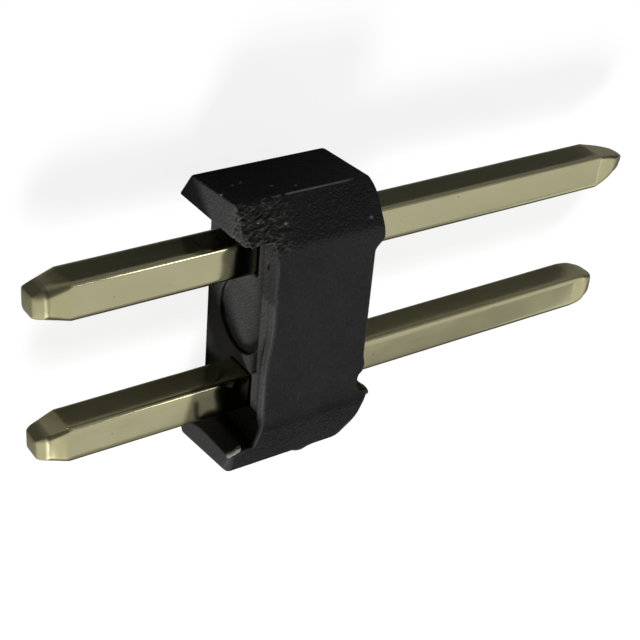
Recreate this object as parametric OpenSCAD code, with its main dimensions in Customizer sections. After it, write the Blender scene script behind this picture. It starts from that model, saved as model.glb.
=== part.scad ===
// Two-way pin header strip, snapped off a longer strip and lying on one side face.
// X runs along the pins, from the board tails at -X to the mating tips at +X.
// Y runs along the row, and Z is up.
// The origin is on the resting face, under the middle of the housing.

/* [Row] */
// Distance from one pin to the next
pitch = 2.54; // [2.3:0.01:2.8]
// Plastic lost at each end where the strip was snapped
snap_loss = 0.09; // [0:0.01:0.2]

/* [Pins] */
// Width of the square pins across the flats
pin_w = 0.64; // [0.5:0.01:0.7]
// Radius on the long edges of the pins
pin_edge_r = 0.05; // [0.02:0.01:0.1]
// Length of the tails, from the standoffs to the ends
tail_len = 3.05; // [2.4:0.01:4.5]
// Length of the square part of the mating ends, from the housing to the tapers
mate_len = 5.5; // [4.5:0.05:8]
// Gap between the pins and the walls of their holes
grip_gap = 0.01; // [0.005:0.005:0.03]

/* [Pin tips] */
// Length of the coined tapers on the tails
tail_taper = 0.53; // [0.3:0.01:0.8]
// Width that the tails' tapers run down to
tail_end_w = 0.42; // [0.3:0.01:0.48]
// Length of the coined taper on the first pin's mating tip
point_len_1 = 0.79; // [0.5:0.01:1.1]
// Length of the coined taper on the second pin's mating tip
point_len_2 = 0.6; // [0.5:0.01:1.1]
// Width that the first pin's mating taper runs down to
point_end_w_1 = 0.26; // [0.15:0.01:0.45]
// Width that the second pin's mating taper runs down to
point_end_w_2 = 0.42; // [0.15:0.01:0.45]
// Share of a taper's length after which its end rounds off
round_from = 0.7; // [0.5:0.05:0.9]
// Share of the taper's end width that the rounding leaves
end_keep = 0.7; // [0.4:0.05:1]
// Share of the taper that the four long edges are struck in by
edge_strike = 0.8; // [0.6:0.01:1]

/* [Housing] */
// Size of the housing along the pins, over its standoffs
body_d = 2.5; // [2.2:0.01:3]
// Thickness of the housing across the row
body_t = 2.3; // [2.1:0.01:2.8]
// Length of the snapping slopes along the row
slope_run = 0.7; // [0.5:0.01:0.9]
// Length of the one slope that snapped off steeper
steep_run = 1.05; // [0.7:0.01:1.2]
// Thickness of the snapped face at the first pin's end
end_t_1 = 1.34; // [1:0.01:1.6]
// Thickness of the snapped face at the second pin's end
end_t_2 = 1.5; // [1:0.01:1.7]
// How far the first snapped face leans along the row
lean_1 = 0.05; // [0:0.01:0.1]
// How far the second snapped face leans along the row
lean_2 = 0.08; // [0:0.01:0.15]
// Size of the broken corners on the mating side of both ends
corner_cut = 0.12; // [0.02:0.01:0.2]

/* [Board side] */
// Depth of the recess between the standoffs
seat_recess = 0.67; // [0.4:0.01:0.9]
// Width of the standoffs along the row
standoff_w = 0.55; // [0.35:0.01:0.6]
// Radius in the corners of the recess
recess_r = 0.16; // [0.05:0.01:0.25]
// Height of the rim above the floor of the recess
rim_h = 0.16; // [0.08:0.01:0.3]
// Thickness of the rim
rim_t = 0.44; // [0.3:0.01:0.6]
// Distance from the middle of the row to where the rim gets thicker
thick_from = 0.62; // [0.3:0.01:0.9]
// Thickness of the rim from there to its end
thick_t = 0.56; // [0.4:0.01:0.7]
// Distance from the middle of the row to the end of the rim
rim_end = 1.35; // [1.2:0.01:1.6]
// Height of the thin edge past the end of the rim, above the floor of the recess
edge_h = 0.26; // [0.1:0.01:0.35]
// Thickness of that thin edge
edge_t = 0.2; // [0.1:0.01:0.3]
// Diameter of the sunken ejector mark
mark_d = 1.26; // [0.8:0.01:1.4]
// Depth of the sunken ejector mark
mark_depth = 0.08; // [0.05:0.01:0.2]
// Distance of the mark's middle below the plane of the pins
mark_drop = 0.12; // [0:0.01:0.2]
// Distance of the mark's middle from the middle of the row
mark_shift = 0.06; // [0:0.01:0.1]

/* [Mating side] */
// Depth of the recess between the lips
mate_recess = 0.16; // [0.1:0.01:0.3]
// Width of the lip at the first pin's end
lip_w_1 = 0.86; // [0.7:0.01:1]
// Width of the lip at the second pin's end
lip_w_2 = 1.19; // [0.8:0.01:1.3]
// Width of the groove that runs beside the second lip
groove_w = 0.36; // [0.26:0.01:0.5]
// Depth of that groove below the floor of the recess
groove_dip = 0.07; // [0.03:0.01:0.15]
// Radius in the corners of that groove
groove_r = 0.1; // [0.04:0.01:0.12]

/* [Snapped nib] */
// Distance of the torn nib from the middle of the housing
nib_at = 0.12; // [0:0.01:0.5]
// Length of the torn nib along the pins
nib_len = 0.36; // [0.2:0.01:0.6]
// Thickness of the torn nib
nib_t = 0.3; // [0.15:0.01:0.5]
// How far the torn nib stands out of the second snapped face
nib_h = 0.05; // [0.03:0.01:0.15]

/* [Hidden] */
$fn = 48;

// How far a cut runs past the faces that it opens
past = 1;
// How far the parts of one moulding run into each other
bite = 0.05;
// Middle plane of the housing, where both pins lie
mid_z = body_t / 2;
half_d = body_d / 2;
half_row = pitch - snap_loss;
pin_y = pitch / 2;
floor_x = -half_d + seat_recess;
recess_half = half_row - standoff_w;
mate_floor_x = half_d - mate_recess;
point_start_x = half_d + mate_len;
tail_start_x = -half_d - tail_len + tail_taper;
// Steps that each struck tip is drawn in
tip_steps = 6;

// Width of a struck tip at a share t of its length, before its end is rounded off
function tip_w(t, end_w) = pin_w + (end_w - pin_w) * t;

// Share of that width that the rounding leaves at a share t of the length
function end_round(t) =
    t < round_from ? 1
    : sqrt(1 - (1 - pow(end_keep, 2)) * pow((t - round_from) / (1 - round_from), 2));

// One edge of a tip's outline, from its start to its end, for a tip that points along +X
function tip_edge(start, length, end_w, side) = [
    for (i = [0:tip_steps * 2])
        let (t = i / (tip_steps * 2))
            [start + length * t, side * tip_w(t, end_w) / 2 * end_round(t)]
];

function reversed(list) = [for (i = [len(list) - 1:-1:0]) list[i]];
function flipped(list) = [for (p = list) [-p[0], p[1]]];

// Outline of a whole pin, seen square to one of its flats
module pin_outline(point_len, point_end_w) {
    upper = tip_edge(point_start_x, point_len, point_end_w, 1);
    lower = tip_edge(point_start_x, point_len, point_end_w, -1);
    tail_upper = flipped(tip_edge(-tail_start_x, tail_taper, tail_end_w, 1));
    tail_lower = flipped(tip_edge(-tail_start_x, tail_taper, tail_end_w, -1));
    polygon(concat(upper, reversed(lower), tail_lower, reversed(tail_upper)));
}

// Square section with rounded edges
module pin_section(w) {
    r = pin_edge_r;
    square([w - 2 * r, w], center = true);
    square([w, w - 2 * r], center = true);
    for (sx = [-1, 1], sy = [-1, 1])
        translate([sx * (w / 2 - r), sy * (w / 2 - r)])
            circle(r = r);
}

// Outline of a pin across its corners, which strikes the long edges in at both tips
module corner_outline(point_len, point_end_w) {
    full = pin_w * sqrt(2);
    near = full / 2;
    point_near = point_end_w * edge_strike * sqrt(2) / 2;
    tail_near = tail_end_w * edge_strike * sqrt(2) / 2;
    tail_end_x = tail_start_x - tail_taper;
    point_end_x = point_start_x + point_len;
    polygon([
        [tail_start_x, near],
        [point_start_x, near],
        [point_end_x, point_near],
        [point_end_x, -point_near],
        [point_start_x, -near],
        [tail_start_x, -near],
        [tail_end_x, -tail_near],
        [tail_end_x, tail_near]
    ]);
}

// A pin along X through the origin, with struck tips
module pin(point_len, point_end_w) {
    intersection() {
        translate([-past - tail_len - half_d, 0, 0])
            rotate([90, 0, 90])
                linear_extrude(tail_len + body_d + mate_len + point_len + 2 * past)
                    pin_section(pin_w);
        for_flats(point_len, point_end_w, 0);
        for_flats(point_len, point_end_w, 90);
        across_corners(point_len, point_end_w, 45);
        across_corners(point_len, point_end_w, -45);
    }
}

module for_flats(point_len, point_end_w, turn) {
    rotate([turn, 0, 0])
        linear_extrude(2 * pin_w, center = true)
            pin_outline(point_len, point_end_w);
}

module across_corners(point_len, point_end_w, turn) {
    rotate([turn, 0, 0])
        linear_extrude(2 * pin_w, center = true)
            corner_outline(point_len, point_end_w);
}

module pin_1() {
    color([0.72, 0.68, 0.52])
        translate([0, pin_y, mid_z])
            pin(point_len_1, point_end_w_1);
}

module pin_2() {
    color([0.72, 0.68, 0.52])
        translate([0, -pin_y, mid_z])
            pin(point_len_2, point_end_w_2);
}

// Section of the housing across the pins, with the slopes where the strip was snapped
module housing_section() {
    polygon([
        [-half_row + slope_run, 0],
        [half_row - slope_run, 0],
        [half_row - lean_1, mid_z - end_t_1 / 2],
        [half_row + lean_1, mid_z + end_t_1 / 2],
        [half_row - slope_run, body_t],
        [-half_row + steep_run, body_t],
        [-half_row, mid_z + end_t_2 / 2],
        [-half_row - 2 * lean_2, mid_z - end_t_2 / 2]
    ]);
}

// Outline of the housing from above, with the broken corners on its mating side
module plan_outline() {
    far = half_row + 2 * max(lean_1, lean_2);
    polygon([
        [-half_d, -far],
        [half_d - corner_cut, -far],
        [half_d, -half_row + corner_cut],
        [half_d, half_row - corner_cut],
        [half_d - corner_cut, far],
        [-half_d, far]
    ]);
}

module section_bar() {
    intersection() {
        translate([-half_d, 0, 0])
            rotate([90, 0, 90])
                linear_extrude(body_d)
                    housing_section();
        translate([0, 0, -past])
            linear_extrude(body_t + 2 * past)
                plan_outline();
    }
}

// Recess on the board side, open at both side faces, with rounded corners at its floor
module seat_cut() {
    r = recess_r;
    translate([0, 0, -past])
        linear_extrude(body_t + 2 * past) {
            translate([-half_d - past, -recess_half])
                square([seat_recess + past - r, 2 * recess_half]);
            translate([-half_d - past, -recess_half + r])
                square([seat_recess + past, 2 * (recess_half - r)]);
            for (side = [-1, 1])
                translate([floor_x - r, side * (recess_half - r)])
                    circle(r = r);
        }
}

// Recess on the mating side, with a sloping end and a groove beside the other end
module mate_cut() {
    high = half_row - lip_w_1;
    low = -half_row + lip_w_2;
    groove_x = mate_floor_x - groove_dip + groove_r;
    translate([0, 0, -past])
        linear_extrude(body_t + 2 * past) {
            polygon([
                [half_d + past, low],
                [mate_floor_x, low],
                [mate_floor_x, high - mate_recess],
                [half_d, high],
                [half_d + past, high]
            ]);
            translate([groove_x, low])
                square([past, groove_w]);
            translate([groove_x - groove_r, low + groove_r])
                square([past, groove_w - 2 * groove_r]);
            for (y = [low + groove_r, low + groove_w - groove_r])
                translate([groove_x, y])
                    circle(r = groove_r);
        }
}

// Low rim along the upper side of the board recess, with a thin edge past its end
module rim() {
    rim_block(rim_h, rim_t, -thick_from, recess_half + bite);
    rim_block(rim_h, thick_t, -rim_end, -thick_from);
    rim_block(edge_h, edge_t, -recess_half - bite, -rim_end);
}

// Block on the floor of the board recess at its upper side, from one place along the row to another
module rim_block(height, thickness, from, to) {
    translate([floor_x - height, from, body_t - thickness])
        cube([height + bite, to - from, thickness]);
}

module ejector_mark() {
    translate([floor_x - past, -mark_shift, mid_z - mark_drop])
        rotate([0, 90, 0])
            cylinder(d = mark_d, h = past + mark_depth);
}

module pin_holes() {
    for (side = [-1, 1])
        translate([-half_d - past, side * pin_y, mid_z])
            rotate([90, 0, 90])
                linear_extrude(body_d + 2 * past)
                    pin_section(pin_w + 2 * grip_gap);
}

// Torn nib left on the snapped face at the second pin's end
module nib() {
    translate([nib_at, -half_row - nib_h, mid_z + end_t_2 / 2 - nib_t])
        cube([nib_len, nib_h + 2 * lean_2, nib_t]);
}

module housing() {
    color([0.13, 0.13, 0.14])
        difference() {
            union() {
                difference() {
                    section_bar();
                    seat_cut();
                    mate_cut();
                }
                intersection() {
                    section_bar();
                    rim();
                }
                nib();
            }
            ejector_mark();
            pin_holes();
        }
}

housing();
pin_1();
pin_2();
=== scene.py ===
"""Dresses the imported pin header: a detailed housing, two detailed pins, the floor, the lights and the camera."""

import itertools
import math

import bpy
import numpy as np
from mathutils import Matrix, Vector


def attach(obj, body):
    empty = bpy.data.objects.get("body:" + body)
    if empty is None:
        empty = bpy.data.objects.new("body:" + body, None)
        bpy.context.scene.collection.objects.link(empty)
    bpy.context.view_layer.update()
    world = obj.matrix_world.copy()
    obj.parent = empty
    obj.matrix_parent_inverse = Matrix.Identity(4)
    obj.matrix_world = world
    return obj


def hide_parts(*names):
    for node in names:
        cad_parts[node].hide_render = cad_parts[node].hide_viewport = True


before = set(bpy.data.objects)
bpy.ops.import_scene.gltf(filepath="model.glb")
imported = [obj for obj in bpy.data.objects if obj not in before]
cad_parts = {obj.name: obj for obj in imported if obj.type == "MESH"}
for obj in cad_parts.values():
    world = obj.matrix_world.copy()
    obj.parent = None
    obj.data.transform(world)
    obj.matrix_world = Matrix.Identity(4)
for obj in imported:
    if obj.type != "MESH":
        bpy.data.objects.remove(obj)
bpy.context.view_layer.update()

# All shape sizes are in millimetres and are scaled to metres when a mesh is made
MM = 0.001

# Sizes of the part, as its solids have them
PIN_W = 0.64
PIN_Y = 1.27
MID_Z = 1.15
HALF_D = 1.25
HALF_ROW = 2.45
FLOOR_X = -0.58
RECESS_HALF = 1.9
MATE_FLOOR_X = 1.09


# Repeatable noise

HASH_MASK = 0xFFFFFFFF
HASH_STEPS = (374761393, 668265263, 1440662683, 974634777)
HASH_ROUNDS = ((13, 1274126177), (16, 668265263))
HASH_LAST_SHIFT = 15
LAYER_SEED_STEP = 17


def lattice(i, j, k, seed):
    """A repeatable number from 0 to 1 for each whole-number point."""
    h = sum(value * step for value, step in zip((i, j, k, seed), HASH_STEPS)) & HASH_MASK
    for shift, factor in HASH_ROUNDS:
        h = ((h ^ (h >> shift)) * factor) & HASH_MASK
    return (h ^ (h >> HASH_LAST_SHIFT)) / HASH_MASK


def noise(p, size, seed=0):
    """Smooth noise from -1 to 1 at the points p, with features of about that size in millimetres."""
    q = p / np.asarray(size, float)
    low = np.floor(q).astype(np.int64)
    f = q - low
    # The usual curve of the fifth order, which joins the cells without a crease
    f = f * f * f * (f * (f * 6 - 15) + 10)
    total = np.zeros(len(p))
    for corner in itertools.product((0, 1), repeat=3):
        weight = np.ones(len(p))
        for axis, c in enumerate(corner):
            weight *= f[:, axis] if c else 1 - f[:, axis]
        total += weight * lattice(*(low[:, a] + corner[a] for a in range(3)), seed)
    return total * 2 - 1


def layered(p, size, seed=0, octaves=3):
    """Noise with finer layers of half the size and half the strength on top."""
    size = np.asarray(size, float)
    return sum(noise(p, size / 2 ** o, seed + LAYER_SEED_STEP * o) / 2 ** o for o in range(octaves))


# Helpers for shapes that are given as a signed distance, negative inside

FAR_AWAY = 1e9


def smooth_max(a, b, k):
    """The larger of two fields, rounded where they differ by less than k."""
    h = np.maximum(k - np.abs(a - b), 0) / k
    return np.maximum(a, b) + h * h * k / 4


def smooth_min(a, b, k):
    """The smaller of two fields, rounded where they differ by less than k."""
    return -smooth_max(-a, -b, k)


def ramp(v, low, high):
    """Rises smoothly from 0 at low to 1 at high."""
    t = np.clip((v - low) / (high - low), 0, 1)
    return t * t * (3 - 2 * t)


def plane(p, y, z, y2, z2):
    """Distance outside the plane through two points of the section, with the body on its left."""
    ny, nz = z2 - z, y - y2
    n = math.hypot(ny, nz)
    return ((p[:, 1] - y) * ny + (p[:, 2] - z) * nz) / n


def blob(p, centre, radii):
    """About the distance outside an ellipsoid."""
    q = (p - np.array(centre)) / np.array(radii)
    return (np.linalg.norm(q, axis=1) - 1) * min(radii)


def strand(p, points, radius):
    """Distance outside a round strand through the points."""
    nearest = np.full(len(p), FAR_AWAY)
    for a, b in zip(np.array(points[:-1]), np.array(points[1:])):
        t = np.clip((p - a) @ (b - a) / ((b - a) @ (b - a)), 0, 1)
        nearest = np.minimum(nearest, np.linalg.norm(p - a - t[:, None] * (b - a), axis=1))
    return nearest - radius


# The housing

# Names that end in _SOFT say how soft a join is, and pairs are where a ramp starts and ends.
# The corners of the section as Y and Z, and how softly each side joins the ones before it
SECTION = [
    (-1.75, 0.0), (1.75, 0.0), (2.40, 0.48), (2.50, 1.82),
    (1.75, 2.30), (-1.40, 2.30), (-2.45, 1.90), (-2.61, 0.40),
]
SOFTNESS = (0.05, 0.05, 0.05, 0.03, 0.08, 0.08, 0.05, 0.05)
DEEP_INSIDE = -10.0

# The edges of the board side, which are rounder at the second pin's end, and those of the mating side
BOARD_SOFT = 0.05
BOARD_ROUNDER = 0.09
BOARD_ROUNDER_Y = (1.9, 2.3)
MATE_SOFT = 0.03
# The bevels between the mating side and the two ends: lean, distance cut back, softness
FIRST_BEVEL = (0.5, 0.12, 0.06)
SECOND_BEVEL = (0.6, 0.18, 0.25)
MOUTH_SOFT = 0.04

# The pin holes, which are wider where they open on the board side
HOLE_GAP = 0.008
HOLE_CORNER_SOFT = 0.06
HOLE_WIDER = 0.025
HOLE_WIDER_X = (0.54, 0.58)
HOLE_EDGE_SOFT = 0.02

# The recess on the board side, and how its end wall opens beside the second bar
WALL_SOFT = 0.22
FLARE = 0.13
FLARE_BELOW = 0.30
FLARE_Z = 1.35
FLARE_X = (0.98, 1.27)
FLARE_Y = (1.0, 1.5)
# The rim in that recess, with a step in its lower side
RIM_X = FLOOR_X - 0.16
RIM_Z = 1.74
RIM_STEP = 0.125
RIM_STEP_Y = (-0.68, -0.58)
RIM_END_Y = -1.35
RIM_SOFT = 0.03
RIM_END_SOFT = 0.06
# The thin edge above the rim. Its lower side rises a little towards the second pin's end, and then follows
# the slope down
THIN_EDGE_X = FLOOR_X - 0.26
THIN_EDGE_Y = (-0.5, 0.5)
THIN_EDGE_Z = 2.10
THIN_EDGE_RISE = 0.09
THIN_EDGE_RISE_Y = (1.25, 1.50)
THIN_EDGE_SOFT = 0.05
SLOPE_Y = -1.40
SLOPE_Z = 2.20
SLOPE_FALL = 0.381
# The sunken ejector mark, with a slightly dished floor
MARK_CENTRE = (-0.06, 1.03)
MARK_R = 0.63
MARK_DEPTH = 0.085
MARK_DISH = 0.010
MARK_FLOOR_SOFT = 0.012
MARK_EDGE_SOFT = 0.010

# The recess on the mating side: its sloping end, its other end with a lip that opens, a swell on its floor,
# and the groove
MATE_HIGH_Y = HALF_ROW - 0.86
MATE_LOW_Y = -HALF_ROW + 1.19
MATE_SLOPE_SOFT = 0.05
MATE_WALL_SOFT = 0.04
LIP_X = 1.19
LIP_OPENS = 0.25
SWELL = 0.04
SWELL_Y = -0.74
SWELL_WIDTH = 0.12
GROOVE_X = 1.02
GROOVE_HALF = 0.18
GROOVE_SOFT = 0.12
GROOVE_EDGE_SOFT = 0.03

# Where the plastic is torn: a patch on the first slope with a wandering border, and the bar's corner beside it
PATCH_Y = (1.66, 1.84)
PATCH_Z = (1.72, 1.82)
PATCH_X = (-0.66, -0.42)
PATCH_WANDER = 0.16
PATCH_WANDER_SIZE = 0.35
PATCH_WANDER_SEED = 3
CORNER_X = (1.02, 1.18)
CORNER_Y = (1.85, 2.0)
CORNER_Z = (1.78, 1.98)
# A trace of the same on the second slope and on both snapped ends
SECOND_SLOPE_TORN = 0.05
SECOND_SLOPE_Y = (1.50, 2.10)
SECOND_SLOPE_Z = (1.2, 2.0)
ENDS_TORN = 0.07
FIRST_END_Y = (2.40, 2.46)
SECOND_END_Y = (2.42, 2.48)

# The torn grain runs mostly along the pins, and a little up the slope
TORN_AXES = np.array([(0.90, 0.40, -0.18), (-0.42, 0.88, -0.22), (0.07, 0.27, 0.96)])
TORN_SIZE = (0.13, 0.034, 0.034)
TORN_SEED = 5
TORN_LAYERS = 2
TORN_DEPTH = 0.016
TORN_LEVEL = 0.5
TORN_STRENGTH = 0.6
TORN_MOST = 1.3
LEAST_TORN = 0.01
# Small marks only matter this near to the surface
NEAR_SURFACE = 0.25

# The chip at the first bar's corner, as a tilted plane with a jagged face
CHIP_Y = 2.18
CHIP_Z = 2.02
CHIP_TILT = (0.6, 0.35, 0.75)
CHIP_BACK = 0.02
CHIP_REACH = -0.12
CHIP_JAG = 0.05
CHIP_JAG_SIZE = 0.13
CHIP_JAG_SEED = 9
CHIP_SOFT = 0.03

# A pit in the torn patch, the nib on the second snapped face and the burr at the mating side, as ellipsoids
PIT = ((-0.745, 1.44, 2.01), (0.05, 0.06, 0.028), 0.02)
NIB = ((0.30, -2.48, 1.72), (0.20, 0.10, 0.14), 0.08)
BURR = ((1.25, -1.355, 2.16), (0.045, 0.065, 0.15), 0.015)
# The burr that curls off the second bar
CURL = (
    (-1.24, -2.01, 1.97), (-1.217, -1.91, 2.08), (-1.17, -1.80, 2.16), (-1.18, -1.72, 2.15), (-1.22, -1.70, 2.09),
)
CURL_R = 0.042
CURL_SOFT = 0.02
# Specks of torn plastic
SPECKS = (
    (-0.94, 2.46, 1.18), (-0.77, 2.46, 1.14), (-0.42, 2.48, 1.47), (-0.10, 2.50, 1.64), (-1.24, 2.47, 1.38),
    (1.02, 1.97, 2.16), (-0.98, 2.24, 2.03), (-0.50, 2.14, 2.05),
)
SPECK_RADII = (0.030, 0.016, 0.016)
SPECK_SOFT = 0.02


def board_recess(p):
    """The recess on the board side with its rim, thin edge and sunken ejector mark. Negative in the air."""
    x, y, z = p.T
    flare = FLARE + FLARE_BELOW * np.clip(FLARE_Z - z, 0, 1) ** 2
    flare = flare * ramp(-x, *FLARE_X) * ramp(-y, *FLARE_Y)
    cut = smooth_max(x - FLOOR_X, np.abs(y) - RECESS_HALF - flare, WALL_SOFT)
    foot = RIM_Z + RIM_STEP * ramp(y, *RIM_STEP_Y)
    rim = smooth_max(smooth_max(RIM_X - x, foot - z, RIM_SOFT), RIM_END_Y - y, RIM_END_SOFT)
    edge_x = THIN_EDGE_X + (RIM_X - THIN_EDGE_X) * ramp(y, *THIN_EDGE_Y)
    edge_z = np.minimum(THIN_EDGE_Z + THIN_EDGE_RISE * ramp(-y, *THIN_EDGE_RISE_Y),
                        SLOPE_Z + SLOPE_FALL * (y - SLOPE_Y))
    edge = smooth_max(edge_x - x, edge_z - z, THIN_EDGE_SOFT)
    cut = smooth_max(cut, -smooth_min(rim, edge, RIM_SOFT), RIM_SOFT)
    r = np.hypot(y - MARK_CENTRE[0], z - MARK_CENTRE[1])
    dish = MARK_DISH * np.clip(1 - (r / MARK_R) ** 2, 0, 1)
    mark = smooth_max(r - MARK_R, x - FLOOR_X - MARK_DEPTH + dish, MARK_FLOOR_SOFT)
    return smooth_min(cut, mark, MARK_EDGE_SOFT)


def mating_recess(p):
    """The shallow recess on the mating side, with its sloping end and the groove beside the other end."""
    x, y, z = p.T
    slope = (y - MATE_HIGH_Y - (x - HALF_D)) / math.sqrt(2)
    wall = MATE_LOW_Y - y - LIP_OPENS * np.clip(x - LIP_X, 0, 1)
    swell = SWELL * np.exp(-((y - SWELL_Y) / SWELL_WIDTH) ** 2)
    cut = smooth_max(MATE_FLOOR_X + swell - x, slope, MATE_SLOPE_SOFT)
    cut = smooth_max(cut, wall, MATE_WALL_SOFT)
    groove = smooth_max(GROOVE_X - x, np.abs(y - MATE_LOW_Y - GROOVE_HALF) - GROOVE_HALF, GROOVE_SOFT)
    return smooth_min(cut, groove, GROOVE_EDGE_SOFT)


def torn_masks(p):
    """Where the plastic is torn: the first slope near the board side, and faintly the rest that was snapped."""
    x, y, z = p.T
    wander = PATCH_WANDER * noise(p, PATCH_WANDER_SIZE, PATCH_WANDER_SEED)
    patch = ramp(y, *PATCH_Y) * ramp(z, *PATCH_Z) * (1 - ramp(x + wander, *PATCH_X))
    corner = ramp(-x, *CORNER_X) * ramp(z, *CORNER_Z) * ramp(y, *CORNER_Y)
    second = ramp(-y, *SECOND_SLOPE_Y) * ramp(z, *SECOND_SLOPE_Z) * SECOND_SLOPE_TORN
    ends = np.maximum(ramp(y, *FIRST_END_Y), ramp(-y, *SECOND_END_Y)) * ENDS_TORN
    return np.clip(np.maximum(np.maximum(patch, corner), np.maximum(second, ends)), 0, 1)


def section_field(p):
    """The bar that the housing is cut from, seen along the pins."""
    f = np.full(len(p), DEEP_INSIDE)
    for (y1, z1), (y2, z2), soft in zip(SECTION, SECTION[1:] + SECTION[:1], SOFTNESS):
        f = smooth_max(f, plane(p, y1, z1, y2, z2), soft)
    return f


def smooth_field(p):
    """The housing without its surface texture."""
    x, y, z = p.T
    f = smooth_max(section_field(p), -HALF_D - x, BOARD_SOFT + BOARD_ROUNDER * ramp(-y, *BOARD_ROUNDER_Y))
    f = smooth_max(f, x - HALF_D, MATE_SOFT)
    for along, (lean, back, soft) in ((y, FIRST_BEVEL), (-y, SECOND_BEVEL)):
        bevel = (x - HALF_D + lean * (along - HALF_ROW + back)) / math.hypot(1, lean)
        f = smooth_max(f, bevel, soft)
    f = smooth_max(f, -board_recess(p), MOUTH_SOFT)
    f = smooth_max(f, -mating_recess(p), MOUTH_SOFT)
    for side in (1, -1):
        dy, dz = np.abs(y - side * PIN_Y), np.abs(z - MID_Z)
        hole = smooth_max(dy, dz, HOLE_CORNER_SOFT) - PIN_W / 2 - HOLE_GAP
        hole -= HOLE_WIDER * ramp(-x, *HOLE_WIDER_X)
        f = smooth_max(f, -hole, HOLE_EDGE_SOFT)
    return f


def torn_grain(p, torn):
    """How deep the torn grain goes at the points, from 0 to its depth."""
    some = torn > LEAST_TORN
    rough = np.zeros(len(p))
    pattern = layered(p[some] @ TORN_AXES.T, TORN_SIZE, TORN_SEED, TORN_LAYERS)
    rough[some] = np.clip(TORN_LEVEL + TORN_STRENGTH * pattern, 0, TORN_MOST)
    return torn * TORN_DEPTH * rough


def chip_field(p):
    """Distance above the jagged plane that cuts the chip off the first bar's corner."""
    x, y, z = p.T
    chip = (-x - HALF_D) * CHIP_TILT[0] + (y - CHIP_Y) * CHIP_TILT[1] + (z - CHIP_Z) * CHIP_TILT[2]
    part = chip > CHIP_REACH
    jag = np.zeros(len(p))
    jag[part] = layered(p[part], CHIP_JAG_SIZE, CHIP_JAG_SEED)
    return chip + CHIP_JAG * jag + CHIP_BACK


def textured_field(p):
    """The housing with its torn places, burrs and specks of torn plastic."""
    f = smooth_field(p)
    near = np.abs(f) < NEAR_SURFACE
    q = p[near]
    g = f[near] + torn_grain(q, torn_masks(q))
    g = smooth_max(g, chip_field(q), CHIP_SOFT)
    centre, radii, soft = PIT
    g = smooth_max(g, -blob(q, centre, radii), soft)
    g = smooth_min(g, strand(q, CURL, CURL_R), CURL_SOFT)
    for centre, radii, soft in (NIB, BURR, *((speck, SPECK_RADII, SPECK_SOFT) for speck in SPECKS)):
        g = smooth_min(g, blob(q, centre, radii), soft)
    f[near] = g
    return np.maximum(f, -p[:, 2])


# From a field to a mesh

CORNERS = np.array(list(itertools.product((0, 1), repeat=3)))
# The coarse blocks are this many cells wide, and the fine grid is filled this near to the surface
NET_BLOCK = 4
NET_BAND = 0.16
# The field is worked out in this many parts, to save memory
FIELD_PARTS = 24
# How far the slope is probed and how far a point may move, as shares of a cell
PROBE_SHARE = 0.25
MOVE_SHARE = 0.4
PULLS = 3
LEAST_SLOPE = 0.25
LEAST_MOVE = 1e-9


def corner_slices(corner, cells):
    """The part of a grid that holds that corner of each cell."""
    return tuple(slice(c, c + n) for c, n in zip(corner, cells))


def repeated(values, times):
    """Each value of a grid, repeated that many times along each axis."""
    for axis in range(3):
        values = np.repeat(values, times, axis)
    return values


def filled_grid(field, low, high, step):
    """The field at the grid points near its surface, and its sign as -1 or 1 at the others."""
    wide = step * NET_BLOCK
    blocks = [int(math.ceil((b - a) / wide)) for a, b in zip(low, high)]
    centres = np.stack(np.meshgrid(*[np.arange(n) + 0.5 for n in blocks], indexing="ij"), -1).reshape(-1, 3)
    rough = field(centres * wide + low).reshape(blocks)
    close = repeated(np.abs(rough) < NET_BAND + wide, NET_BLOCK)
    cells = [n * NET_BLOCK for n in blocks]
    shape = [n + 1 for n in cells]
    values = np.ones(shape, np.float32)
    values[:-1, :-1, :-1] = np.where(repeated(rough, NET_BLOCK) < 0, -1, 1)
    wanted = np.zeros(shape, bool)
    for corner in CORNERS:
        wanted[corner_slices(corner, cells)] |= close
    points = np.argwhere(wanted) * step + low
    values[wanted] = np.concatenate([field(part) for part in np.array_split(points, FIELD_PARTS)])
    return values


def net_points(values, low, step):
    """A point in each cell that the surface crosses, the mean of its crossings, and a grid of their numbers."""
    cells = [n - 1 for n in values.shape]
    count = sum((values[corner_slices(corner, cells)] < 0).astype(np.int8) for corner in CORNERS)
    mixed = (count > 0) & (count < len(CORNERS))
    where = np.argwhere(mixed)
    level = {tuple(corner): values[tuple((where + corner).T)] for corner in CORNERS}
    total = np.zeros((len(where), 3))
    hits = np.zeros(len(where))
    for a, b in itertools.combinations(level, 2):
        if sum(abs(i - j) for i, j in zip(a, b)) != 1:
            continue
        cross = (level[a] < 0) != (level[b] < 0)
        t = np.where(cross, level[a] / np.where(cross, level[a] - level[b], 1), 0)
        total += (np.array(a) + t[:, None] * (np.array(b) - np.array(a))) * cross[:, None]
        hits += cross
    index = np.full(cells, -1, np.int32)
    index[mixed] = np.arange(len(where))
    return (where + total / hits[:, None]) * step + low, index


def net_quads(inside, index):
    """A quad around each grid edge that the surface crosses, facing out of the body."""
    quads = []
    for axis in range(3):
        u, v = [a for a in range(3) if a != axis]
        one = [slice(1, n - 1) for n in inside.shape]
        one[axis] = slice(0, inside.shape[axis] - 1)
        two = list(one)
        two[axis] = slice(1, inside.shape[axis])
        a, b = inside[tuple(one)], inside[tuple(two)]
        at = np.argwhere(a != b)
        flip = a[tuple(at.T)]
        at = at + 1
        at[:, axis] -= 1
        ring = []
        for du, dv in ((0, 0), (-1, 0), (-1, -1), (0, -1)):
            cell = at.copy()
            cell[:, u] += du
            cell[:, v] += dv
            ring.append(index[tuple(cell.T)])
        ring = np.stack(ring, 1)
        turn = flip if axis != 1 else ~flip
        ring[~turn] = ring[~turn][:, ::-1]
        quads.append(ring)
    return np.concatenate(quads)


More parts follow.
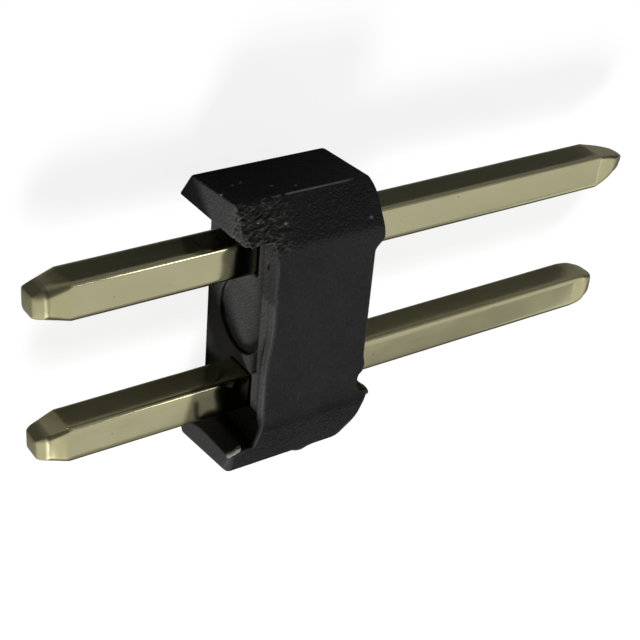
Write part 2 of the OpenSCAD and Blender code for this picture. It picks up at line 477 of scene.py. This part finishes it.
def surface_net(field, low, high, step):
    """A mesh of quads around the field's zero surface. The fine grid is only filled near the surface."""
    low = np.asarray(low, float)
    values = filled_grid(field, low, high, step)
    verts, index = net_points(values, low, step)
    return verts, net_quads(values < 0, index)


def pull_onto(field, verts, step):
    """Moves the points onto the field's zero surface."""
    delta = step * PROBE_SHARE
    for _ in range(PULLS):
        here = field(verts)
        slope = np.stack([field(verts + delta * np.eye(3)[a]) - here for a in range(3)], 1) / delta
        move = -here[:, None] * slope / np.maximum((slope ** 2).sum(1), LEAST_SLOPE)[:, None]
        far = np.linalg.norm(move, axis=1)
        verts = verts + move * np.minimum(1, MOVE_SHARE * step / np.maximum(far, LEAST_MOVE))[:, None]
    return verts


def thinned(obj, most):
    """Collapses edges where the surface is flat, until the mesh has at most that many triangles."""
    modifier = obj.modifiers.new("thin", "DECIMATE")
    modifier.ratio = min(1, most / (2 * len(obj.data.polygons)))
    shape = obj.evaluated_get(bpy.context.evaluated_depsgraph_get())
    mesh = bpy.data.meshes.new_from_object(shape)
    obj.modifiers.clear()
    obj.data = mesh
    mesh.shade_smooth()


def make_mesh(name, verts, faces):
    """An object from points in millimetres and quads, with smooth shading."""
    mesh = bpy.data.meshes.new(name)
    mesh.vertices.add(len(verts))
    mesh.vertices.foreach_set("co", (verts * MM).astype(np.float32).ravel())
    mesh.loops.add(faces.size)
    mesh.loops.foreach_set("vertex_index", faces.astype(np.int32).ravel())
    mesh.polygons.add(len(faces))
    mesh.polygons.foreach_set("loop_start", np.arange(0, faces.size, faces.shape[1], dtype=np.int32))
    mesh.update(calc_edges=True)
    mesh.validate()
    mesh.shade_smooth()
    obj = bpy.data.objects.new(name, mesh)
    bpy.context.scene.collection.objects.link(obj)
    return obj


def vertex_values(obj, kind):
    """The place or normal of each vertex, as rows of three numbers."""
    values = np.zeros(len(obj.data.vertices) * 3)
    obj.data.vertices.foreach_get(kind, values)
    return values.reshape(-1, 3)


def add_attribute(obj, name, values):
    """Stores a number for each vertex under that name, for the materials to read."""
    layer = obj.data.attributes.new(name, "FLOAT", "POINT")
    layer.data.foreach_set("value", np.asarray(values, np.float32))


# Materials

# A pattern is its scale per metre, its detail and how it is stretched along each axis. A range is where a
# value starts and ends, and what it becomes there. A bump is its height in metres and its strength.
# The black plastic
BLACK_DARK = (0.0012, 0.0013, 0.0015)
BLACK_PALE = (0.0064, 0.0065, 0.0069)
# Painted light: the lighter grey of what faces the board
PAINTED_LIGHT_GREY = (0.090, 0.090, 0.092)
TORN_GREY = (0.058, 0.058, 0.050)
# Painted highlight: the pale grey of the line along the first snapped face's edge
HIGHLIGHT_GREY = (0.50, 0.49, 0.47)
SPECK_GREY = (0.20, 0.20, 0.19)
PLASTIC_CLOUD = (1500, 3)
PLASTIC_GRAIN = (22000, 3)
PLASTIC_FINE = (60000, 2)
TORN_STREAKS = (1.0, 3, (11000, 30000, 30000))
CLOUD_SHARE = 0.4
GRAIN_SHARE = 0.6
MOTTLE_RANGE = (0.40, 0.60, 0, 1)
DUST_RANGE = (0.50, 0.62, 0.04, 1)
PLASTIC_ROUGHNESS = (0.3, 0.7, 0.30, 0.38)
TORN_ROUGHER = 0.15
DULL_ROUGHER = 0.42
PLASTIC_IOR = 1.42
GRAIN_BUMP = (0.000014, 1.0)
FINE_BUMP = (0.000002, 0.4)
# The painted highlight line fades out between these depths below the edge, in millimetres
HIGHLIGHT_DEPTH = (0.015, 0.026)

# The plated pins
PLATING_PALE = (0.76, 0.72, 0.44)
PLATING_DEEP = (0.72, 0.68, 0.41)
STRUCK_GOLD = (0.74, 0.67, 0.34)
SPOT_BROWN = (0.35, 0.30, 0.18)
CUT_COLOUR = (0.44, 0.42, 0.26)
# Painted shade: the dark colour on the tails' front faces near the housing
PAINTED_SHADE_COLOUR = (0.12, 0.11, 0.07)
DRAWN_LINES = (1.0, 2, (900, 26000, 26000))
PLATING_CLOUD = (1100, 3)
PLATING_SPOTS = (9000, 2)
PLATING_RANGE = (0.35, 0.65, 0, 1)
SPOT_RANGE = (0.70, 0.76, 0, 0.35)
CUT_RANGE = (0, 0.3, 0, 1)
STRUCK_SHARE = 0.4
PLATING_ROUGHNESS = (0.3, 0.7, 0.10, 0.17)
STRUCK_ROUGHER = 0.08
CUT_ROUGHER = 0.62
LINES_BUMP = (0.0000012, 0.35)
CLOUD_BUMP = (0.00001, 0.15)

WHITE = (1, 1, 1, 1)
# What a glossy or clear surface sees of the white floor and background, as a share of what the camera sees
GLOSSY_SHARE = 0.01


class Graph:
    """The nodes of a material or world, with short calls that add a node and return its output."""

    def __init__(self, owner):
        owner.use_nodes = True
        self.nodes, self.links = owner.node_tree.nodes, owner.node_tree.links

    def feed(self, socket, value):
        """Links a socket to an output, or sets it to a number or a colour."""
        if isinstance(value, bpy.types.NodeSocket):
            self.links.new(value, socket)
        else:
            socket.default_value = (*value, 1) if isinstance(value, tuple) else value

    def place(self):
        """The coordinates of the object, in metres."""
        return self.nodes.new("ShaderNodeTexCoord").outputs["Object"]

    def attribute(self, name):
        """The number that the mesh stores under that name."""
        node = self.nodes.new("ShaderNodeAttribute")
        node.attribute_name = name
        return node.outputs["Fac"]

    def pattern(self, coords, scale, detail, stretch=None):
        """A noise texture from 0 to 1."""
        node = self.nodes.new("ShaderNodeTexNoise")
        node.inputs["Scale"].default_value = scale
        node.inputs["Detail"].default_value = detail
        if stretch:
            mapping = self.nodes.new("ShaderNodeMapping")
            mapping.inputs["Scale"].default_value = stretch
            self.links.new(coords, mapping.inputs["Vector"])
            coords = mapping.outputs["Vector"]
        self.links.new(coords, node.inputs["Vector"])
        return node.outputs["Fac"]

    def spread(self, value, from_low, from_high, to_low, to_high):
        """The value, moved from one range to another and kept inside it."""
        node = self.nodes.new("ShaderNodeMapRange")
        node.inputs["From Min"].default_value = from_low
        node.inputs["From Max"].default_value = from_high
        node.inputs["To Min"].default_value = to_low
        node.inputs["To Max"].default_value = to_high
        self.links.new(value, node.inputs["Value"])
        return node.outputs["Result"]

    def mix(self, factor, a, b):
        """The colour a, and b where the factor is 1."""
        node = self.nodes.new("ShaderNodeMix")
        node.data_type = "RGBA"
        for value, socket in ((factor, node.inputs[0]), (a, node.inputs[6]), (b, node.inputs[7])):
            self.feed(socket, value)
        return node.outputs[2]

    def maths(self, operation, a, b):
        """The result of one operation on two values."""
        node = self.nodes.new("ShaderNodeMath")
        node.operation = operation
        for value, socket in ((a, node.inputs[0]), (b, node.inputs[1])):
            self.feed(socket, value)
        return node.outputs[0]

    def plus(self, a, b):
        """The sum of two values."""
        return self.maths("ADD", a, b)

    def times(self, a, b):
        """The product of two values."""
        return self.maths("MULTIPLY", a, b)

    def bump(self, height, distance, strength, normal=None):
        """The normal that the height gives, on top of another normal if there is one."""
        node = self.nodes.new("ShaderNodeBump")
        node.inputs["Distance"].default_value = distance
        node.inputs["Strength"].default_value = strength
        self.links.new(height, node.inputs["Height"])
        if normal:
            self.links.new(normal, node.inputs["Normal"])
        return node.outputs["Normal"]

    def seen(self):
        """1 for what the camera sees, a small share for what glossy and clear surfaces see, and 0 for light."""
        path = self.nodes.new("ShaderNodeLightPath").outputs
        indirect = self.maths("MAXIMUM", path["Is Glossy Ray"], path["Is Transmission Ray"])
        return self.plus(self.times(indirect, GLOSSY_SHARE), path["Is Camera Ray"])


def new_material(name):
    """A material, its graph and its shader."""
    mat = bpy.data.materials.new(name)
    graph = Graph(mat)
    return mat, graph, graph.nodes["Principled BSDF"]


def highlight_line(graph, coords):
    """A thin painted highlight along the edge where the first snapped face meets its slope."""
    inside = 0.0
    for (y1, z1), (y2, z2) in (SECTION[2:4], SECTION[3:5]):
        long = math.hypot(z2 - z1, y2 - y1)
        normal = ((z2 - z1) / long, (y1 - y2) / long)
        node = graph.nodes.new("ShaderNodeVectorMath")
        node.operation = "DOT_PRODUCT"
        graph.links.new(coords, node.inputs[0])
        node.inputs[1].default_value = (0, *normal)
        reach = (y1 * normal[0] + z1 * normal[1]) * MM
        inside = graph.plus(inside, graph.maths("SUBTRACT", reach, node.outputs["Value"]))
    return graph.spread(inside, HIGHLIGHT_DEPTH[0] * MM, HIGHLIGHT_DEPTH[1] * MM, 1, 0)


def plastic_material():
    """Black moulded plastic: a fine satin grain, lighter and rougher torn places, a painted edge highlight and
    painted light facing the board.
    """
    mat, graph, shader = new_material("housing_plastic")
    coords = graph.place()
    torn, edge_highlight, speck, painted_board_light, dull = map(graph.attribute, ("torn", "edge_highlight", "speck", "painted_board_light", "dull"))
    cloud = graph.pattern(coords, *PLASTIC_CLOUD)
    grain = graph.pattern(coords, *PLASTIC_GRAIN)
    fine = graph.pattern(coords, *PLASTIC_FINE)
    mottle = graph.plus(graph.times(cloud, CLOUD_SHARE), graph.times(grain, GRAIN_SHARE))
    base = graph.mix(graph.spread(mottle, *MOTTLE_RANGE), BLACK_DARK, BLACK_PALE)
    # Painted light on what faces the board, with painted shade in places
    base = graph.mix(painted_board_light, base, PAINTED_LIGHT_GREY)
    dust = graph.spread(graph.pattern(coords, *TORN_STREAKS), *DUST_RANGE)
    base = graph.mix(graph.times(dust, torn), base, TORN_GREY)
    # Painted highlight along the edge of the first snapped face
    base = graph.mix(graph.times(highlight_line(graph, coords), edge_highlight), base, HIGHLIGHT_GREY)
    base = graph.mix(speck, base, SPECK_GREY)
    graph.feed(shader.inputs["Base Color"], base)
    roughness = graph.spread(cloud, *PLASTIC_ROUGHNESS)
    roughness = graph.plus(roughness, graph.times(torn, TORN_ROUGHER))
    roughness = graph.plus(roughness, graph.times(dull, DULL_ROUGHER))
    graph.feed(shader.inputs["Roughness"], roughness)
    shader.inputs["IOR"].default_value = PLASTIC_IOR
    normal = graph.bump(grain, *GRAIN_BUMP)
    graph.feed(shader.inputs["Normal"], graph.bump(fine, *FINE_BUMP, normal))
    return mat


def plating_material():
    """Pale champagne plating on drawn wire: fine lines along the pin, small brown spots, struck and cut tips
    and painted shade on the tails' front faces near the housing."""
    mat, graph, shader = new_material("pin_plating")
    coords = graph.place()
    struck, cut, shade_mask = map(graph.attribute, ("struck", "cut", "shade_mask"))
    lines = graph.pattern(coords, *DRAWN_LINES)
    cloud = graph.pattern(coords, *PLATING_CLOUD)
    spots = graph.pattern(coords, *PLATING_SPOTS)
    base = graph.mix(graph.spread(cloud, *PLATING_RANGE), PLATING_PALE, PLATING_DEEP)
    base = graph.mix(graph.times(struck, STRUCK_SHARE), base, STRUCK_GOLD)
    base = graph.mix(graph.spread(spots, *SPOT_RANGE), base, SPOT_BROWN)
    base = graph.mix(graph.spread(cut, *CUT_RANGE), base, CUT_COLOUR)
    # Painted shade on the tails' front faces near the housing
    base = graph.mix(shade_mask, base, PAINTED_SHADE_COLOUR)
    graph.feed(shader.inputs["Base Color"], base)
    shader.inputs["Metallic"].default_value = 1.0
    roughness = graph.spread(cloud, *PLATING_ROUGHNESS)
    roughness = graph.plus(roughness, graph.times(struck, STRUCK_ROUGHER))
    roughness = graph.plus(roughness, graph.times(graph.maths("POWER", cut, 2), CUT_ROUGHER))
    graph.feed(shader.inputs["Roughness"], roughness)
    normal = graph.bump(lines, *LINES_BUMP)
    graph.feed(shader.inputs["Normal"], graph.bump(cloud, *CLOUD_BUMP, normal))
    return mat


# The housing piece

STEP = 0.020
MOST_TRIANGLES = 190000
NET_LOW = (-1.34, -2.75, -0.09)
NET_HIGH = (1.34, 2.60, 2.40)

# The painted highlight line is broken up by noise, and runs between these places along the pins
HIGHLIGHT_LEVEL = 0.60
HIGHLIGHT_STRENGTH = 0.40
HIGHLIGHT_SIZE = (0.30, 0.5, 0.5)
HIGHLIGHT_SEED = 31
HIGHLIGHT_START_X = (-1.05, -0.85)
HIGHLIGHT_END_X = (0.60, 0.95)
# How far the pale colour reaches from a speck's middle and from the curled burr's surface
SPECK_R = 0.026
CURL_PALE = (0.005, 0.02)
# What faces the board is painted a lighter grey, as painted light from that side, and painted shade takes part of
# it back in the recess beside the second bar, on that bar and at the rim's end beside the first pin
PAINTED_LIGHT_FACING = (0.60, 0.92)
SUNKEN_X = (-0.98, -0.88)
BESIDE_BAR = 0.90
BESIDE_BAR_Y = (1.10, 1.35)
SECOND_BAR = 0.35
SECOND_BAR_Y = (1.5, 1.7)
RIM_END = 0.5
RIM_END_FADE_Y = (0.82, 0.88)
RIM_END_FADE_Z = (1.70, 1.75)
# What faces the board is also dull, and the second snapped side is glossier
DULL_FACING = (0.02, 0.22)
GLOSSIER = 0.26
GLOSSIER_FACING = (0.12, 0.30)


def housing_marks(verts, normals):
    """How torn, specked and dull the plastic is at each point, with its painted edge highlight and the painted
    light and shade on what faces the board.
    """
    x, y, z = verts.T
    # Painted highlight along the first snapped face's edge, broken up by noise
    broken = HIGHLIGHT_LEVEL + HIGHLIGHT_STRENGTH * noise(verts, HIGHLIGHT_SIZE, HIGHLIGHT_SEED)
    edge_highlight = broken * ramp(x, *HIGHLIGHT_START_X) * (1 - ramp(x, *HIGHLIGHT_END_X))
    far = [np.linalg.norm(verts - np.array(speck), axis=1) for speck in SPECKS]
    specks = np.max([np.exp(-(r / SPECK_R) ** 2) for r in far], axis=0)
    specks = np.maximum(specks, 1 - ramp(strand(verts, CURL, CURL_R), *CURL_PALE))
    facing = -normals[:, 0]
    sunken = ramp(x, *SUNKEN_X)
    # Painted light on what faces the board, taken back by painted shade in the recess beside the second bar, on
    # that bar and at the rim's end
    painted_board_light = ramp(facing, *PAINTED_LIGHT_FACING) * (1 - BESIDE_BAR * ramp(-y, *BESIDE_BAR_Y) * sunken)
    painted_board_light *= 1 - SECOND_BAR * ramp(-y, *SECOND_BAR_Y)
    painted_board_light *= 1 - RIM_END * ramp(y, *RIM_END_FADE_Y) * sunken * ramp(z, *RIM_END_FADE_Z)
    dull = ramp(facing, *DULL_FACING) - GLOSSIER * ramp(-normals[:, 1], *GLOSSIER_FACING)
    return {"torn": torn_masks(verts), "edge_highlight": edge_highlight, "speck": specks, "painted_board_light": painted_board_light, "dull": dull}


verts, quads = surface_net(textured_field, NET_LOW, NET_HIGH, STEP)
housing = make_mesh("housing_moulding", pull_onto(textured_field, verts, STEP), quads)
thinned(housing, MOST_TRIANGLES)
marks = housing_marks(vertex_values(housing, "co") / MM, vertex_values(housing, "normal"))
for name, values in marks.items():
    add_attribute(housing, name, values)
housing.data.materials.append(plastic_material())
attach(housing, "root")
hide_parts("housing")


# The pins

# How square the pins' section is, as the power of its rounded outline
SHARP = 26
# Its width from corner to corner, a little less than a sharp square's
DIAGONAL = PIN_W * math.sqrt(2) * 0.955
# Points around a ring, and how far they are drawn towards the middles of the sides
AROUND = 96
MIDDLE_PULL = 0.035
SHAFT_RINGS = 240
# Where the rings of a tip are, as shares of its length, and where its section stops getting rounder
TIP_SHARES = np.concatenate([np.linspace(0, 0.7, 15), np.linspace(0.73, 1, 14)])
ROUNDER_SHARES = (0, 0.7)
# A tip narrows a little later in Z than in Y
EASE_Z = 1.15
# The rings of the dome that closes an end, as shares of the end's width
CAP_SHARES = (0.96, 0.88, 0.76, 0.60, 0.42, 0.20)

# Unevenness of the surface: height and size of the waves, which fade out inside WAVE_R of the pin's middle
LONG_WAVE = 0.002
LONG_WAVE_SIZE = (1.6, 0.9, 0.9)
SHORT_WAVE = 0.0012
SHORT_WAVE_SIZE = (0.5, 0.25, 0.25)
STRUCK_WAVE = 0.0014
STRUCK_WAVE_SIZE = 0.16
STRUCK_WAVE_LAYERS = 2
WAVE_R = 0.22
LEAST_R = 1e-6
# The struck surface starts this far before a tip
STRUCK_EARLY = 0.02
STRUCK_FADE = 0.06
# The cut surface: the share of a tip's length that it takes up, how it fades in and how strong it is
TAIL_CUT = 0.46
TAIL_CUT_FADE = 0.13
MATE_CUT = 0.25
MATE_CUT_FADE = 0.12
MATE_CUT_STRENGTH = 0.25
# Painted shade on the tails' front faces near the housing, with a leaning border, and darker painted shade in a
# strip close to the housing
SHADE_AMOUNT = 0.76
PAINTED_SHADE_FADE = 0.07
PAINTED_SHADE_LEAN = 0.27
CLOSE_SHADE = 0.17
CLOSE_SHADE_X = (-1.18, -1.06)
PAINTED_SHADE_END_X = (-0.5, 0)
PAINTED_SHADE_HEIGHT = (0.20, 0.27)


def tip_profile(t, width, keep, start, ease=1.0):
    """Width of a struck tip at the shares t of its length."""
    w = PIN_W + (width - PIN_W) * t ** ease
    late = np.clip((t - start) / (1 - start), 0, 1)
    return w * np.sqrt(np.maximum(1 - (1 - keep ** 2) * late ** 2, 0))


def tip_rings(side, tip):
    """Place, widths, diagonal and squareness of each ring, from the shaft to the tip's end."""
    t = TIP_SHARES
    x_at = tip["end"] - side * tip["length"] * (1 - t)
    wy = tip_profile(t, tip["wy"], tip["keep"], tip["start"])
    wz = tip_profile(t, tip["wz"], tip["keep"], tip["start"], EASE_Z)
    diagonal = DIAGONAL + ((tip["wy"] + tip["wz"]) / math.sqrt(2) * tip["strike"] - DIAGONAL) * t
    power = SHARP + (tip["power"] - SHARP) * ramp(t, *ROUNDER_SHARES)
    return np.stack([x_at, wy, wz, diagonal, power], 1)


def shaft_rings(start, end):
    """The same for the rings between the tips, without the first and the last, which the tips have."""
    x_at = np.linspace(start, end, SHAFT_RINGS)[1:-1]
    return np.stack([x_at, *(np.full(len(x_at), value) for value in (PIN_W, PIN_W, DIAGONAL, SHARP))], 1)


def ring_points(angle, x_at, wy, wz, diagonal, power):
    """The points of one ring: a rounded square with cut corners."""
    c, s = np.cos(angle), np.sin(angle)
    total = (np.abs(c) / (wy / 2)) ** power + (np.abs(s) / (wz / 2)) ** power
    total += (np.abs(c + s) / math.sqrt(2) / (diagonal / 2)) ** power
    total += (np.abs(c - s) / math.sqrt(2) / (diagonal / 2)) ** power
    r = total ** (-1 / power)
    return np.stack([np.full(len(angle), x_at), r * c, r * s], 1)


def dome(ring, previous, count, out, rise):
    """The points, numbered from count, and the quads of the dome that closes the ring of points previous."""
    points, quads = [], []
    middle = ring.mean(0)
    for share in CAP_SHARES:
        inner = middle + (ring - middle) * share
        inner[:, 0] = ring[:, 0] + out * rise * math.sqrt(1 - share ** 2)
        points.append(inner)
        current = np.arange(AROUND) + count
        count += AROUND
        quads.append(np.stack([previous, np.roll(previous, -1), np.roll(current, -1), current], 1))
        previous = current
    points.append(np.array([[ring[0, 0] + out * rise, middle[1], middle[2]]]))
    half = previous.reshape(-1, 2)
    after = np.roll(previous, -2).reshape(-1, 2)[:, 0]
    quads.append(np.stack([half[:, 0], half[:, 1], after, np.full(len(half), count)], 1))
    quads = np.concatenate(quads)
    return np.concatenate(points), quads if out > 0 else quads[:, ::-1]


def pin_surface(tail, mate):
    """The points and quads of a smooth pin around the X axis, from its rings and the domes at its ends."""
    angle = (np.arange(AROUND) + 0.5) * 2 * math.pi / AROUND
    angle = angle - MIDDLE_PULL * np.sin(4 * angle)
    tail_rings, mate_rings = tip_rings(-1, tail)[::-1], tip_rings(1, mate)
    rings = np.concatenate([tail_rings, shaft_rings(tail_rings[-1, 0], mate_rings[0, 0]), mate_rings])
    verts = np.array([ring_points(angle, *ring) for ring in rings])
    start = np.arange(len(rings) - 1)[:, None] * AROUND
    i = np.arange(AROUND)[None, :]
    j = (i + 1) % AROUND
    faces = np.stack([start + i, start + j, start + AROUND + j, start + AROUND + i], -1).reshape(-1, 4)
    points = verts.reshape(-1, 3)
    for at, out, rise in ((0, -1, tail["rise"]), (len(rings) - 1, 1, mate["rise"])):
        more, quads = dome(verts[at], np.arange(AROUND) + at * AROUND, len(points), out, rise)
        points = np.concatenate([points, more])
        faces = np.concatenate([faces, quads])
    return points, faces


def make_pin(name, y0, tail, mate, seed):
    """A square pin with rounded edges and struck tips.

    Each tip has an end and a length along X, its widths wy and wz there, a start as the share of its length
    from which it rounds off to the share keep of those widths, a strike that sets its width from corner to
    corner, a power that says how square it ends, and the rise of its dome. A tail has the X where its painted
    shade starts, and a mating tip has a lift, which bends its end along Y.
    """
    points, faces = pin_surface(tail, mate)
    x = points[:, 0]
    struck = np.maximum(ramp(tail["end"] + tail["length"] + STRUCK_EARLY - x, 0, STRUCK_FADE),
                        ramp(x - mate["end"] + mate["length"] + STRUCK_EARLY, 0, STRUCK_FADE))
    tail_cut = ramp(tail["end"] + tail["length"] * TAIL_CUT - x, 0, TAIL_CUT_FADE)
    mate_cut = ramp(x - mate["end"] + mate["length"] * MATE_CUT, 0, MATE_CUT_FADE) * MATE_CUT_STRENGTH
    wave = LONG_WAVE * noise(points, LONG_WAVE_SIZE, seed)
    wave = wave + SHORT_WAVE * noise(points, SHORT_WAVE_SIZE, seed + 1)
    wave = wave + struck * STRUCK_WAVE * layered(points, STRUCK_WAVE_SIZE, seed + 2, STRUCK_WAVE_LAYERS)
    radial = points * [0, 1, 1]
    r = np.maximum(np.linalg.norm(radial, axis=1), LEAST_R)
    wave *= np.clip(r / WAVE_R, 0, 1) ** 2
    points = points + radial / r[:, None] * wave[:, None]
    points[:, 1] += mate["lift"] * ramp(points[:, 0], mate["end"] - mate["length"], mate["end"])
    points += [0, y0, MID_Z]
    x, y, z = points.T
    # Painted shade on the front faces near the housing, darker close to it
    border = tail["painted_shade"] + PAINTED_SHADE_LEAN * (y - y0)
    painted_shade = SHADE_AMOUNT * ramp(x, border - PAINTED_SHADE_FADE, border + PAINTED_SHADE_FADE) + CLOSE_SHADE * ramp(x, *CLOSE_SHADE_X)
    painted_shade = painted_shade * (1 - ramp(x, *PAINTED_SHADE_END_X)) * ramp(z - MID_Z, *PAINTED_SHADE_HEIGHT)
    pin = make_mesh(name, points, faces)
    add_attribute(pin, "struck", struck)
    add_attribute(pin, "cut", np.maximum(tail_cut, mate_cut))
    add_attribute(pin, "shade_mask", painted_shade)
    return pin


TAIL_1 = {"end": -4.27, "length": 0.55, "wy": 0.48, "wz": 0.48, "keep": 0.84, "start": 0.76, "strike": 0.76,
          "rise": 0.035, "power": 16, "painted_shade": -1.02}
TAIL_2 = {"end": -4.28, "length": 0.49, "wy": 0.42, "wz": 0.46, "keep": 0.84, "start": 0.76, "strike": 0.88,
          "rise": 0.035, "power": 16, "painted_shade": -1.74}
MATE_1 = {"end": 7.48, "length": 0.76, "wy": 0.36, "wz": 0.36, "keep": 0.42, "start": 0.56, "strike": 0.92,
          "rise": 0.06, "power": 5, "lift": 0.022}
MATE_2 = {"end": 7.29, "length": 0.60, "wy": 0.61, "wz": 0.60, "keep": 0.42, "start": 0.42, "strike": 0.90,
          "rise": 0.055, "power": 5, "lift": 0.010}
PINS = (
    ("pin_first", PIN_Y, TAIL_1, MATE_1, "pin_1", 40),
    ("pin_second", -PIN_Y, TAIL_2, MATE_2, "pin_2", 60),
)

plating = plating_material()
for name, y0, tail, mate, node, seed in PINS:
    pin = make_pin(name, y0, tail, mate, seed)
    pin.data.materials.append(plating)
    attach(pin, "root")
    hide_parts(node)


# The stage

FLOOR_COLOUR = (0.17, 0.17, 0.17, 1)
FLOOR_ROUGHNESS = 0.9
FLOOR_SPECULAR = 0.1
FLOOR_LIFT = 0.86
FLOOR_HALF = 400.0
FLOOR_CORNERS = ((-1, -1, 0), (1, -1, 0), (1, 1, 0), (-1, 1, 0))

# Each lamp's name, the direction it stands in, its distance, width, height and radiance, and the way that its
# height runs
LAMPS = (
    ("key", (-0.3626, -0.659, 0.659), 110, 32, 32, 43.0, (0, 0, 1)),
    ("panel", (0.436, -0.319, 0.842), 90, 140, 56, 0.24, (-0.2126, 0.673, 0.7087)),
    ("strip", (0.42, 0.14, 0.89), 90, 12, 12, 6.0, (0, 0, 1)),
    ("side_panel", (0.855, -0.41, 0.325), 90, 50, 48, 0.42, (0, 0, 1)),
)
LAMP_TARGET = (0.5, 0, 1)

# How bright the room is in each direction: it darkens towards the horizon, towards -X and a little towards +Y,
# with a weak glow low down on the +Y side
ROOM_BY_Z = (0.20, 0.60, 0, 0.24)
ROOM_BY_X = (-0.15, 0.25, 0.15, 1)
ROOM_BY_Y = (-0.25, 0.25, 1, 0.80)
GLOW_BY_Y = (0.1, 0.5, 0, 0.10)
GLOW_BY_Z = (0.10, 0.60, 1, 0)
ROOM_LEAST = 0.03


def floor_material():
    """Pale rough floor that the camera sees nearly white, and that keeps the object's shadow."""
    mat, graph, shader = new_material("floor")
    shader.inputs["Base Color"].default_value = FLOOR_COLOUR
    shader.inputs["Roughness"].default_value = FLOOR_ROUGHNESS
    shader.inputs["Specular IOR Level"].default_value = FLOOR_SPECULAR
    shader.inputs["Emission Color"].default_value = WHITE
    graph.feed(shader.inputs["Emission Strength"], graph.times(graph.seen(), FLOOR_LIFT))
    return mat


def area_lamp(name, direction, distance, width, height, radiance, towards):
    """A rectangular lamp of that radiance, aimed at the middle of the part. Its height runs along towards."""
    data = bpy.data.lights.new(name, "AREA")
    data.shape = "RECTANGLE"
    data.size = width * MM
    data.size_y = height * MM
    data.energy = radiance * math.pi * data.size * data.size_y
    lamp = bpy.data.objects.new(name, data)
    bpy.context.scene.collection.objects.link(lamp)
    back = Vector(direction).normalized()
    up = Vector(towards)
    up = (up - back * up.dot(back)).normalized()
    side = up.cross(back)
    rotation = Matrix((side, up, back)).transposed().to_4x4()
    target = Vector(LAMP_TARGET) * MM
    lamp.matrix_world = Matrix.Translation(target + back * distance * MM) @ rotation


def set_world():
    """A dim, soft room for the light, darker towards the horizon, and white where the camera sees it."""
    world = bpy.data.worlds.new("studio")
    bpy.context.scene.world = world
    graph = Graph(world)
    room = graph.nodes["Background"]
    split = graph.nodes.new("ShaderNodeSeparateXYZ")
    graph.links.new(graph.nodes.new("ShaderNodeTexCoord").outputs["Generated"], split.inputs[0])
    x, y, z = split.outputs
    level = graph.times(graph.spread(z, *ROOM_BY_Z), graph.spread(x, *ROOM_BY_X))
    level = graph.times(level, graph.spread(y, *ROOM_BY_Y))
    glow = graph.times(graph.spread(y, *GLOW_BY_Y), graph.spread(z, *GLOW_BY_Z))
    room.inputs["Color"].default_value = WHITE
    graph.feed(room.inputs["Strength"], graph.plus(graph.plus(level, glow), ROOM_LEAST))
    white = graph.nodes.new("ShaderNodeBackground")
    white.inputs["Color"].default_value = WHITE
    mix = graph.nodes.new("ShaderNodeMixShader")
    for socket, value in zip(mix.inputs, (graph.seen(), room.outputs[0], white.outputs[0])):
        graph.feed(socket, value)
    graph.links.new(mix.outputs[0], graph.nodes["World Output"].inputs["Surface"])


floor = make_mesh("floor", FLOOR_HALF * np.array(FLOOR_CORNERS), np.array([[0, 1, 2, 3]]))
floor.data.materials.append(floor_material())
for lamp_values in LAMPS:
    area_lamp(*lamp_values)
set_world()


# The camera, from the fit of the pins' edges in the photograph

CAMERA_AT = (-10.872, 11.755, 17.131)
RIGHT = (0.82910, 0.07961, 0.55340)
UP = (0.23557, 0.84792, -0.47491)
FORWARD = (0.50704, -0.52412, -0.68426)
FOCAL_PX = 1377.2
PHOTO_PX = 640
SENSOR_MM = 36.0
CLIP_NEAR = 0.001
CLIP_FAR = 10.0

data = bpy.data.cameras.new("camera")
data.sensor_width = SENSOR_MM
data.lens = FOCAL_PX / PHOTO_PX * SENSOR_MM
data.clip_start = CLIP_NEAR
data.clip_end = CLIP_FAR
camera = bpy.data.objects.new("camera", data)
bpy.context.scene.collection.objects.link(camera)
turn = Matrix((Vector(RIGHT), Vector(UP), -Vector(FORWARD))).transposed().to_4x4()
camera.matrix_world = Matrix.Translation(Vector(CAMERA_AT) * MM) @ turn
bpy.context.scene.camera = camera
bpy.context.scene.view_settings.view_transform = "Standard"
